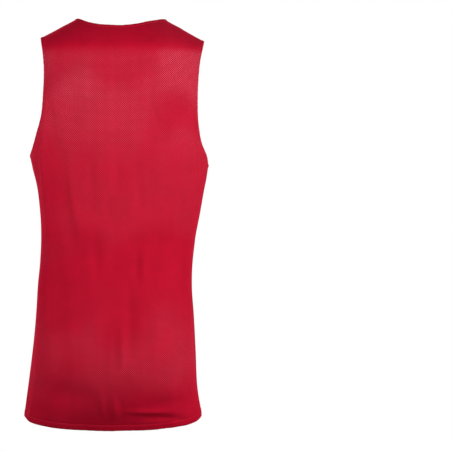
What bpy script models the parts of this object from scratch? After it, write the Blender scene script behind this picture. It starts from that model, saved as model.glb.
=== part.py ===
"""Reversible sleeveless sports jersey, filled out as on a wearer.

A red layer faces out and a white layer faces in. Each layer is one back panel and one front
panel, sewn together at the side seams and over the shoulders. The two layers are turned in on
each other at the neck and the armholes, and hang free of each other at the hem.

Sizes are in metres. +Z is up, -Y is the wearer's front and +X the wearer's left. The origin is
midway between the straps, at the middle of their slope, where the shoulders hold the jersey.
"""

from typing import NamedTuple

import bmesh
import bpy
import numpy as np

# Cloth
WALL = 0.0010
SEAM_GAP = 0.0003

# Heights
HEM_AT_SIDES = -0.691
HEM_DROP = {"back": 0.0215, "front": 0.012}
HEM_CURVE = 2.6
ARMPIT = {"left": -0.2292, "right": -0.2436}
SHOULDER_TIP = {"left": -0.0185, "right": -0.0225}
NECK_POINT = 0.0170

# Widths from the middle of the body
NECK_HALF_WIDTH = 0.078
TIP_HALF_WIDTH = {"left": 0.1438, "right": 0.1490}

# The shoulder slopes are arcs from the yoke line up to the ridge, where the seam lies. They
# turn sharply at the yoke line, where a low figure means sharper, and roundly at the ridge.
YOKE_LINE = {"back": -0.041, "front": -0.140}
YOKE_TURN = 1.24
RIDGE_TURN = 2.0
NECK_RISE = 0.014

# Neckline: its lowest point and how late it climbs to each neck point
NECK_DROP = {"back": -0.0020, "front": -0.088}
NECK_CLIMB = {
    "back": {"left": 3.2, "right": 1.5},
    "front": {"left": 2.4, "right": 2.4},
}

# Armholes seen from the side are ovals, and the front is cut in further than the back.
ARMHOLE_REACH = {"back": 0.057, "front": 0.056}
ARMHOLE_OVAL_CENTRE = 0.53
FRONT_CUT_IN = 0.016

# Squareness of the body's sections, where 2 is an ellipse
SQUARENESS = 2.5

# Mesh density: cells from the middle to the neck point, on to the side, and up each part
NECK_CELLS = 9
STRAP_CELLS = 7
BODY_CELLS = 16
CHEST_CELLS = 11
CHEST_CROWDING = 1.5

# Fine steps of the curves that the mesh is read from
SECTION_STEPS = 241
BODY_STEPS = 60
CHEST_STEPS = 50
SLOPE_STEPS = 61

# The two armpits' heights meet over this share of the way round, so that one row joins them.
ARMPIT_SLANT = 0.6

# How suddenly a fold ends, where a high figure means more suddenly, and the cells beside a
# panel's side edges over which every fold dies out, so that the pieces still meet there
FOLD_END = 3
CALM_CELLS = 3

SHARP_ANGLE = np.radians(50)

RED = (0.58, 0.012, 0.030, 1.0)
WHITE = (0.80, 0.80, 0.81, 1.0)


class SideSeam(NamedTuple):
    """Distance of the side seams from the middle, at a share of the way from hem to armpit."""

    share: float
    left: float
    right: float


class ArmholeEdge(NamedTuple):
    """Distance of the back's armhole edges, at a share of the way from armpit to shoulder tip."""

    share: float
    left: float
    right: float


class Depth(NamedTuple):
    """How far the back and the front stand from the side seams' plane, at a height."""

    height: float
    back: float
    front: float


class Fold(NamedTuple):
    """A soft ridge, or a trough where its depth is negative, from one point of a panel to another.

    Across is measured round the body from the middle, in metres and positive to the left.
    """

    panel: str
    across_from: float
    height_from: float
    across_to: float
    height_to: float
    width: float
    depth: float


SIDE_SEAMS = (
    SideSeam(0.00, 0.1724, 0.1440),
    SideSeam(0.10, 0.1660, 0.1370),
    SideSeam(0.25, 0.1575, 0.1338),
    SideSeam(0.40, 0.1510, 0.1300),
    SideSeam(0.50, 0.1480, 0.1268),
    SideSeam(0.60, 0.1442, 0.1270),
    SideSeam(0.70, 0.1427, 0.1325),
    SideSeam(0.80, 0.1450, 0.1410),
    SideSeam(0.90, 0.1515, 0.1490),
    SideSeam(0.95, 0.1575, 0.1535),
    SideSeam(1.00, 0.1620, 0.1566),
)

ARMHOLE_EDGES = (
    ArmholeEdge(0.00, 0.1620, 0.1566),
    ArmholeEdge(0.07, 0.1560, 0.1520),
    ArmholeEdge(0.17, 0.1497, 0.1430),
    ArmholeEdge(0.30, 0.1417, 0.1374),
    ArmholeEdge(0.50, 0.1374, 0.1350),
    ArmholeEdge(0.70, 0.1360, 0.1364),
    ArmholeEdge(0.85, 0.1385, 0.1400),
    ArmholeEdge(1.00, 0.1438, 0.1490),
)

DEPTHS = (
    Depth(-0.712, 0.078, 0.107),
    Depth(-0.660, 0.103, 0.112),
    Depth(-0.600, 0.117, 0.113),
    Depth(-0.540, 0.113, 0.110),
    Depth(-0.480, 0.103, 0.106),
    Depth(-0.420, 0.095, 0.103),
    Depth(-0.360, 0.093, 0.105),
    Depth(-0.300, 0.097, 0.113),
    Depth(-0.236, 0.103, 0.119),
    Depth(-0.180, 0.107, 0.121),
    Depth(-0.140, 0.108, 0.119),
    Depth(-0.090, 0.107, 0.112),
    Depth(-0.040, 0.102, 0.100),
)

FOLDS = (
    Fold("back", 0.118, -0.215, 0.083, -0.400, 0.016, -0.0045),
    Fold("back", -0.100, -0.330, -0.094, -0.430, 0.014, -0.0035),
    Fold("back", 0.125, -0.360, 0.118, -0.540, 0.020, -0.0040),
    Fold("back", -0.025, -0.480, -0.030, -0.620, 0.014, -0.0025),
    Fold("back", 0.040, -0.655, 0.160, -0.640, 0.018, -0.0030),
    Fold("back", -0.040, -0.668, -0.175, -0.655, 0.014, -0.0035),
    Fold("front", 0.060, -0.190, 0.140, -0.330, 0.018, -0.0040),
    Fold("front", -0.070, -0.200, -0.140, -0.350, 0.018, -0.0040),
    Fold("front", 0.035, -0.400, 0.028, -0.640, 0.020, -0.0035),
    Fold("front", -0.075, -0.440, -0.090, -0.680, 0.018, -0.0035),
)


def through(rows, column, key, at):
    """A smooth curve through one column of a table, read at the given values of its key column."""
    x = np.array([getattr(row, key) for row in rows])
    y = np.array([getattr(row, column) for row in rows])
    slope = np.gradient(y, x)
    at = np.clip(at, x[0], x[-1])
    i = np.clip(np.searchsorted(x, at) - 1, 0, len(x) - 2)
    span = x[i + 1] - x[i]
    t = (at - x[i]) / span
    rising = t * t * (3 - 2 * t)
    bend = t * (1 - t)
    return (
        y[i] * (1 - rising)
        + y[i + 1] * rising
        + span * bend * ((1 - t) * slope[i] - t * slope[i + 1])
    )


def edge_of(panel, side, height):
    """Where a panel ends at a height: its distance to the side and in depth, both positive."""
    armpit, tip = ARMPIT[side], SHOULDER_TIP[side]
    if height <= armpit:
        share = (height - HEM_AT_SIDES) / (armpit - HEM_AT_SIDES)
        return float(through(SIDE_SEAMS, side, "share", share)), 0.0
    share = (height - armpit) / (tip - armpit)
    out = float(through(ARMHOLE_EDGES, side, "share", share))
    if panel == "front":
        out -= FRONT_CUT_IN * np.sin(np.pi * min(share, 1.0))
    off_centre = min(abs(share / ARMHOLE_OVAL_CENTRE - 1), 1.0)
    return out, ARMHOLE_REACH[panel] * np.sqrt(1 - off_centre**2)


def half_section(panel, side, height, shares):
    """Points at shares of the way round a level section, from the middle to the panel's edge."""
    depth = float(through(DEPTHS, panel, "height", height))
    edge_out, edge_depth = edge_of(panel, side, height)
    edge_depth = max(edge_depth, SEAM_GAP / 2)
    # The section is a superellipse that passes through the panel's edge.
    full_width = edge_out / (1 - (edge_depth / depth) ** SQUARENESS) ** (1 / SQUARENESS)
    out = np.sin(np.linspace(0, np.pi / 2, SECTION_STEPS)) ** (2 / SQUARENESS) * edge_out
    back = depth * (1 - (out / full_width) ** SQUARENESS) ** (1 / SQUARENESS)
    length = np.concatenate([[0], np.cumsum(np.hypot(np.diff(out), np.diff(back)))])
    at = shares * length[-1]
    return np.interp(at, length, out), np.interp(at, length, back), length[-1]


def ridge_height(side, out):
    """Height of the shoulder ridge, and of the line that carries it on across the neck."""
    past_neck = (out - NECK_HALF_WIDTH) / (TIP_HALF_WIDTH[side] - NECK_HALF_WIDTH)
    strap = NECK_POINT + (SHOULDER_TIP[side] - NECK_POINT) * np.clip(past_neck, 0, 1)
    inside = np.clip(1 - (out / NECK_HALF_WIDTH) ** 2, 0, 1)
    return strap + NECK_RISE * inside


def column_shares():
    """Shares of the way from the middle to the side, with one column on the neck point."""
    neck = 2 * NECK_HALF_WIDTH / sum(TIP_HALF_WIDTH.values())
    # The columns close up towards the neck point, where the neckline runs along them.
    inner = neck * np.sin(np.linspace(0, np.pi / 2, NECK_CELLS + 1))
    inner[-1] = neck
    outer = np.linspace(neck, 1, STRAP_CELLS + 1)
    return np.concatenate([inner, outer[1:]]), neck


def column_paths(panel, side, shares, neck_share):
    """Every column as a fine path from below the hem to the ridge, with its distance round."""
    armpit, yoke = ARMPIT[side], YOKE_LINE[panel]
    below = np.linspace(HEM_AT_SIDES - HEM_DROP[panel], armpit, BODY_STEPS)
    rise = 1 - np.cos(np.linspace(0, np.pi / 2, CHEST_STEPS))[1:]
    heights = np.concatenate([below, armpit + (yoke - armpit) * rise])
    body = [half_section(panel, side, z, shares) for z in heights]
    out = np.array([row[0] for row in body])
    depth = np.array([row[1] for row in body])
    across = np.array([shares * row[2] for row in body])
    height = np.repeat(heights[:, None], len(shares), axis=1)

    past_neck = (shares - neck_share) / (1 - neck_share)
    ridge_out = np.where(
        shares <= neck_share,
        NECK_HALF_WIDTH * shares / neck_share,
        NECK_HALF_WIDTH + (TIP_HALF_WIDTH[side] - NECK_HALF_WIDTH) * past_neck,
    )
    ridge = ridge_height(side, ridge_out)
    turn = np.linspace(0, np.pi / 2, SLOPE_STEPS)[1:, None]
    up = np.sin(turn) ** (2 / YOKE_TURN)
    forward = np.cos(turn) ** (2 / RIDGE_TURN)
    seam_depth = SEAM_GAP / 2
    arc_out = out[-1] + (ridge_out - out[-1]) * up
    arc_depth = seam_depth + (depth[-1] - seam_depth) * forward
    arc_height = yoke + (ridge - yoke) * up
    arc_across = across[-1] + (ridge_out - out[-1]) * up
    return (
        np.concatenate([out, arc_out]),
        np.concatenate([depth, arc_depth]),
        np.concatenate([height, arc_height]),
        np.concatenate([across, arc_across]),
    )


def neckline_height(panel, side, out):
    """Height of the neck edge at a distance from the middle."""
    drop = NECK_DROP[panel]
    return drop + (NECK_POINT - drop) * (out / NECK_HALF_WIDTH) ** NECK_CLIMB[panel][side]


def hem_height(panel, out_share):
    """Height of the hem at a share of the way out to the side seam."""
    return HEM_AT_SIDES - HEM_DROP[panel] * np.sqrt(max(1 - out_share**HEM_CURVE, 0))


def half_panel(panel, side):
    """Rows and columns of one half of a panel, and how far round the body each point is."""
    shares, neck_share = column_shares()
    out, depth, height, across = column_paths(panel, side, shares, neck_share)
    sign = 1 if side == "left" else -1
    toward = 1 if panel == "back" else -1
    mean_armpit = sum(ARMPIT.values()) / 2
    body = np.linspace(0, 1, BODY_CELLS + 1)
    chest = np.linspace(0, 1, CHEST_CELLS + 1)[1:] ** CHEST_CROWDING
    columns = []
    for i, share in enumerate(shares):
        hem = hem_height(panel, out[0, i] / out[0, -1])
        slant = min(share / ARMPIT_SLANT, 1) ** 2
        split = mean_armpit + (ARMPIT[side] - mean_armpit) * slant
        steps = np.hypot(np.hypot(np.diff(out[:, i]), np.diff(depth[:, i])), np.diff(height[:, i]))
        along = np.concatenate([[0], np.cumsum(steps)])
        top = along[-1]
        if share < neck_share:
            above = height[:, i] - neckline_height(panel, side, out[:, i])
            k = int(np.argmax(above > 0))
            part = above[k - 1] / (above[k - 1] - above[k])
            top = along[k - 1] + part * (along[k] - along[k - 1])
        low, middle = np.interp([hem, split], height[:, i], along)
        at = np.concatenate([low + (middle - low) * body, middle + (top - middle) * chest])
        x, y, z, round_it = (np.interp(at, along, v[:, i]) for v in (out, depth, height, across))
        columns.append(np.stack([sign * x, toward * y, z, sign * round_it], axis=1))
    return np.stack(columns, axis=1)


def normals_of(points):
    """Unit normals of a grid, pointing out of the body, and level with the seams on them."""
    along = np.gradient(points, axis=0)
    round_it = np.gradient(points, axis=1)
    normals = np.cross(round_it, along)
    middle = points.shape[1] // 2
    if normals[BODY_CELLS, middle, 1] * points[BODY_CELLS, middle, 1] < 0:
        normals = -normals
    for column in (0, -1):
        normals[: BODY_CELLS + 1, column, 1] = 0
    normals[-1, : STRAP_CELLS + 1, 1] = 0
    normals[-1, -STRAP_CELLS - 1 :, 1] = 0
    return normals / np.linalg.norm(normals, axis=2, keepdims=True)


def fold_relief(panel, across, height):
    """How far the panel's folds lift its surface at each point."""
    relief = np.zeros_like(height)
    for fold in (f for f in FOLDS if f.panel == panel):
        run = np.array([fold.across_to - fold.across_from, fold.height_to - fold.height_from])
        length = np.hypot(*run)
        du, dz = across - fold.across_from, height - fold.height_from
        along = np.clip((du * run[0] + dz * run[1]) / length**2, 0, 1)
        away = np.hypot(du - along * run[0], dz - along * run[1])
        fade = 1 - np.abs(2 * along - 1) ** FOLD_END
        relief += fold.depth * fade * np.exp(-((away / fold.width) ** 2))
    return relief


def panel_form(panel):
    """The outer surface of a panel as a grid of points, from the right side to the left."""
    right, left = half_panel(panel, "right"), half_panel(panel, "left")
    # The two halves differ a little at the middle column, where they are averaged.
    left[:, 0] = (left[:, 0] + right[:, 0]) / 2
    grid = np.concatenate([right[:, :0:-1], left], axis=1)
    points, across = grid[:, :, :3], grid[:, :, 3]
    relief = fold_relief(panel, across, points[:, :, 2])
    count = points.shape[1] - 1
    inward = np.minimum(np.arange(count + 1), np.arange(count, -1, -1)) / CALM_CELLS
    relief *= np.clip(inward, 0, 1)
    points = points + normals_of(points) * relief[:, :, None]
    return points, normals_of(points)


def fabric(name, colour):
    """A matt knitted cloth."""
    material = bpy.data.materials.new(name)
    material.use_nodes = True
    shader = material.node_tree.nodes["Principled BSDF"]
    shader.inputs["Base Color"].default_value = colour
    shader.inputs["Roughness"].default_value = 0.72
    shader.inputs["Metallic"].default_value = 0.0
    material.diffuse_color = colour
    return material


def cloth_wall(name, points, normals, depth, material):
    """A closed wall of cloth whose outer face lies at a depth below the given surface."""
    rows, columns = points.shape[:2]
    mesh = bmesh.new()
    faces_in_depth = []
    for below in (depth, depth + WALL):
        surface = points - normals * below
        faces_in_depth.append([[mesh.verts.new(p) for p in row] for row in surface])
    outer, inner = faces_in_depth
    for r in range(rows - 1):
        for c in range(columns - 1):
            for grid, order in ((outer, 1), (inner, -1)):
                a, b = grid[r][c], grid[r][c + 1]
                d, e = grid[r + 1][c], grid[r + 1][c + 1]
                mesh.faces.new((a, b, e)[::order])
                mesh.faces.new((a, e, d)[::order])
    border = [(0, c) for c in range(columns - 1)]
    border += [(r, columns - 1) for r in range(rows - 1)]
    border += [(rows - 1, c) for c in range(columns - 1, 0, -1)]
    border += [(r, 0) for r in range(rows - 1, 0, -1)]
    for (r0, c0), (r1, c1) in zip(border, border[1:] + border[:1]):
        a, b = outer[r0][c0], outer[r1][c1]
        e, d = inner[r1][c1], inner[r0][c0]
        mesh.faces.new((a, d, e))
        mesh.faces.new((a, e, b))
    bmesh.ops.recalc_face_normals(mesh, faces=mesh.faces)
    data = bpy.data.meshes.new(name)
    mesh.to_mesh(data)
    mesh.free()
    data.shade_smooth()
    data.set_sharp_from_angle(angle=SHARP_ANGLE)
    data.materials.append(material)
    piece = bpy.data.objects.new(name, data)
    bpy.context.scene.collection.objects.link(piece)
    return piece


def main():
    for old in list(bpy.data.objects):
        bpy.data.objects.remove(old)
    red = fabric("red_mesh_knit", RED)
    white = fabric("white_mesh_knit", WHITE)
    for panel in ("back", "front"):
        points, normals = panel_form(panel)
        cloth_wall(f"outer_{panel}", points, normals, 0.0, red)
        cloth_wall(f"inner_{panel}", points, normals, WALL + SEAM_GAP, white)


main()
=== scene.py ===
"""Reversible sleeveless jersey of mesh knit, filled out as worn, seen from the back.

The red layer faces out and the white layer faces in. The form of each panel is worked out from
its cut: side seams, armhole edges, neckline, hem and depth at each height. Listed folds are laid
on that form, then the seams, hems and rows of stitching that hold the real jersey together.

Lengths are in metres. +Z is up, -Y is the wearer's front and +X the wearer's left.
"""

from __future__ import annotations

import logging
import math
from dataclasses import dataclass, field
from enum import Enum
from typing import Callable, NamedTuple

import bpy
import numpy as np
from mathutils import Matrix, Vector, noise

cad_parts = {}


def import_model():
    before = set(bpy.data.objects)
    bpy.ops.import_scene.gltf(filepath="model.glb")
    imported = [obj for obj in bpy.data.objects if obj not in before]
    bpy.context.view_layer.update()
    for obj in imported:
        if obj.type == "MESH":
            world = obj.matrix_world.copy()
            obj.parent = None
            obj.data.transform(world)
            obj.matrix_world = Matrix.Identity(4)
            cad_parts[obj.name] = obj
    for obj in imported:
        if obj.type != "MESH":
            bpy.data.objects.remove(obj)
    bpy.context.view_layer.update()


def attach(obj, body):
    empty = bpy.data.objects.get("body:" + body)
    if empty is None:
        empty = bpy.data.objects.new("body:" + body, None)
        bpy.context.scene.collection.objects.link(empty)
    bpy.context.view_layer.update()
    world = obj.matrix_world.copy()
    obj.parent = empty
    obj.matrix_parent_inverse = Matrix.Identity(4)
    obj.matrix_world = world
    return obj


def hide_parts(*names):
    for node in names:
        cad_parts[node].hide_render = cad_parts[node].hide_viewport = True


log = logging.getLogger("jersey")

MM = 0.001
BODY = "root"
UV_NAME = "cloth"

# Numbers of steps in which a section and the parts of a column are worked out.
SECTION_STEPS = 321
BODY_STEPS = 220
CHEST_STEPS = 140
SLOPE_STEPS = 161


class Panel(Enum):
    """The two cut pieces of a layer."""

    BACK = "back"
    FRONT = "front"


class Side(Enum):
    """The wearer's two sides."""

    LEFT = "left"
    RIGHT = "right"


class Layer(Enum):
    """The two cloths of the jersey, which turned inside out change places."""

    OUTER = "outer"
    INNER = "inner"


class SideSeam(NamedTuple):
    """Distance of the side seams from the middle, at a share of the way from hem to armpit."""

    share: float
    left: float
    right: float


class ArmholeEdge(NamedTuple):
    """Distance of the back's armhole edges, at a share of the way from armpit to shoulder tip."""

    share: float
    left: float
    right: float


class Depth(NamedTuple):
    """How far the back and the front stand from the side seams' plane, at a height."""

    height: float
    back: float
    front: float


class HoleShareAndPaintedSheen(NamedTuple):
    """How much hole colour is laid on at a height: where the layers touch, and on the upper back as a
    painted highlight.
    """

    height: float
    share: float


class Fold(NamedTuple):
    """A soft ridge, or a trough where its depth is negative, in millimetres.

    Across is measured round the body from the middle, positive to the wearer's left.
    """

    across_from: float
    height_from: float
    across_to: float
    height_to: float
    width: float
    depth: float


SIDE_SEAMS = (
    SideSeam(0.00, 0.1724, 0.1440),
    SideSeam(0.10, 0.1660, 0.1370),
    SideSeam(0.25, 0.1575, 0.1338),
    SideSeam(0.40, 0.1510, 0.1300),
    SideSeam(0.50, 0.1480, 0.1268),
    SideSeam(0.60, 0.1442, 0.1270),
    SideSeam(0.70, 0.1427, 0.1325),
    SideSeam(0.80, 0.1450, 0.1410),
    SideSeam(0.90, 0.1515, 0.1490),
    SideSeam(0.95, 0.1575, 0.1535),
    SideSeam(1.00, 0.1620, 0.1566),
)

ARMHOLE_EDGES = (
    ArmholeEdge(0.00, 0.1620, 0.1566),
    ArmholeEdge(0.07, 0.1560, 0.1520),
    ArmholeEdge(0.17, 0.1497, 0.1430),
    ArmholeEdge(0.30, 0.1417, 0.1374),
    ArmholeEdge(0.50, 0.1374, 0.1350),
    ArmholeEdge(0.70, 0.1360, 0.1364),
    ArmholeEdge(0.85, 0.1385, 0.1400),
    ArmholeEdge(1.00, 0.1438, 0.1490),
)

DEPTHS = (
    Depth(-0.712, 0.078, 0.107),
    Depth(-0.660, 0.103, 0.112),
    Depth(-0.600, 0.117, 0.113),
    Depth(-0.540, 0.113, 0.110),
    Depth(-0.480, 0.103, 0.106),
    Depth(-0.420, 0.095, 0.103),
    Depth(-0.360, 0.093, 0.105),
    Depth(-0.300, 0.097, 0.113),
    Depth(-0.236, 0.103, 0.119),
    Depth(-0.180, 0.107, 0.121),
    Depth(-0.140, 0.108, 0.119),
    Depth(-0.090, 0.107, 0.112),
    Depth(-0.040, 0.102, 0.100),
)

# Shares of hole colour by height, where the layers touch; raised near -0.10 to -0.058 as a painted
# highlight on the upper back.
HOLE_SHARE_AND_PAINTED_SHEEN = (
    HoleShareAndPaintedSheen(-0.720, 0.08),
    HoleShareAndPaintedSheen(-0.670, 0.12),
    HoleShareAndPaintedSheen(-0.600, 0.36),
    HoleShareAndPaintedSheen(-0.520, 0.30),
    HoleShareAndPaintedSheen(-0.420, 0.20),
    HoleShareAndPaintedSheen(-0.260, 0.24),
    HoleShareAndPaintedSheen(-0.150, 0.50),
    HoleShareAndPaintedSheen(-0.100, 0.88),
    HoleShareAndPaintedSheen(-0.058, 0.95),
    HoleShareAndPaintedSheen(-0.038, 0.10),
    HoleShareAndPaintedSheen(0.020, 0.10),
)

# Where each panel's unevenness is read in the noise, so that the two differ.
SLACK_PLACE = {Panel.BACK: 3.0, Panel.FRONT: 11.0}

BACK_FOLDS = (
    Fold(118, -215, 83, -400, 16, -4.5),
    Fold(-100, -330, -94, -430, 14, -3.5),
    Fold(125, -360, 118, -540, 20, -4.0),
    Fold(-25, -480, -30, -620, 14, -2.5),
    Fold(40, -655, 160, -640, 18, -3.0),
    Fold(-40, -668, -175, -655, 14, -3.5),
    Fold(146, -120, 147, -290, 8, 4.0),
    Fold(-134, -120, -146, -300, 8, 4.0),
    Fold(98, -250, 72, -380, 11, 4.2),
    Fold(134, -130, 119, -245, 10, -4.0),
    Fold(112, -190, 96, -330, 9, -3.4),
    Fold(146, -220, 138, -420, 11, 3.4),
    Fold(53, -248, 53, -302, 7, -2.4),
    Fold(8, -235, 7, -292, 7, -2.2),
    Fold(-32, -275, -33, -330, 8, -2.6),
    Fold(23, -296, 23, -346, 7, -2.2),
    Fold(47, -360, 42, -455, 8, -3.2),
    Fold(-28, -400, -27, -460, 7, -2.6),
    Fold(-15, -455, -15, -592, 8, -3.4),
    Fold(-45, -480, -43, -600, 8, -3.4),
    Fold(10, -545, 10, -608, 7, -2.6),
    Fold(-86, -312, -86, -392, 7, -3.2),
    Fold(-76, -318, -76, -395, 6, 2.6),
    Fold(-39, -388, -40, -466, 7, 2.6),
    Fold(-2, -515, -2, -600, 6, 2.6),
    Fold(-41, -112, -74, -200, 9, -2.6),
    Fold(77, -70, 79, -125, 9, -2.4),
    Fold(-41, -2, -53, -32, 5, -2.2),
    Fold(62, -8, 70, -40, 7, -1.6),
    Fold(-136, -465, -132, -560, 9, 4.2),
    Fold(-120, -250, -104, -440, 10, -3.0),
    Fold(36, -640, 30, -690, 6, 2.6),
    Fold(14, -650, 8, -692, 6, 2.8),
    Fold(-6, -677, -98, -680, 4, 2.8),
    Fold(-30, -689, -120, -693, 5, -2.4),
    Fold(96, -600, 110, -690, 12, -2.8),
    Fold(70, -430, 66, -560, 14, -2.6),
    Fold(-100, -480, -106, -640, 13, -2.8),
)

FRONT_FOLDS = (
    Fold(60, -190, 140, -330, 18, -4.0),
    Fold(-70, -200, -140, -350, 18, -4.0),
    Fold(35, -400, 28, -640, 20, -3.5),
    Fold(-75, -440, -90, -680, 18, -3.5),
    Fold(140, -130, 144, -290, 15, 2.2),
    Fold(-137, -140, -144, -290, 15, 2.2),
    Fold(42, -130, 66, -235, 10, -2.0),
    Fold(-38, -128, -58, -240, 9, -1.8),
    Fold(4, -110, 2, -180, 9, -1.4),
    Fold(96, -300, 74, -420, 11, 2.2),
    Fold(-104, -330, -84, -455, 10, 2.0),
    Fold(-8, -280, -12, -400, 9, -1.6),
    Fold(14, -300, 18, -372, 8, 1.3),
    Fold(-44, -350, -40, -470, 9, -1.8),
    Fold(66, -470, 70, -600, 10, -1.8),
    Fold(-20, -500, -24, -610, 9, 1.6),
    Fold(-120, -480, -128, -600, 10, 2.2),
    Fold(118, -520, 124, -660, 12, -2.2),
    Fold(0, -640, -4, -698, 8, 1.6),
    Fold(-60, -650, -66, -700, 8, -1.6),
    Fold(52, -655, 60, -700, 8, 1.6),
    Fold(70, -25, 84, -90, 8, -1.5),
    Fold(-74, -30, -86, -96, 8, -1.5),
)


def smooth_step(value: np.ndarray) -> np.ndarray:
    """Eases a share of 0 to 1 at both of its ends."""
    value = np.clip(value, 0, 1)
    return value * value * (3 - 2 * value)


def through(rows: tuple, column: str, key: str, at: float) -> float:
    """Reads one column of a table as a smooth curve.

    Args:
        rows: The table's rows, in rising order of the key.
        column: The name of the column that is read.
        key: The name of the column that it is read against.
        at: The key's value to read at.

    Returns:
        The column's value there.
    """
    x = np.array([getattr(row, key) for row in rows])
    y = np.array([getattr(row, column) for row in rows])
    slope = np.gradient(y, x)
    at = float(np.clip(at, x[0], x[-1]))
    i = int(np.clip(np.searchsorted(x, at) - 1, 0, len(x) - 2))
    span = x[i + 1] - x[i]
    t = (at - x[i]) / span
    rising = t * t * (3 - 2 * t)
    bend = t * (1 - t)
    level = y[i] * (1 - rising) + y[i + 1] * rising
    return float(level + span * bend * ((1 - t) * slope[i] - t * slope[i + 1]))


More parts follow.
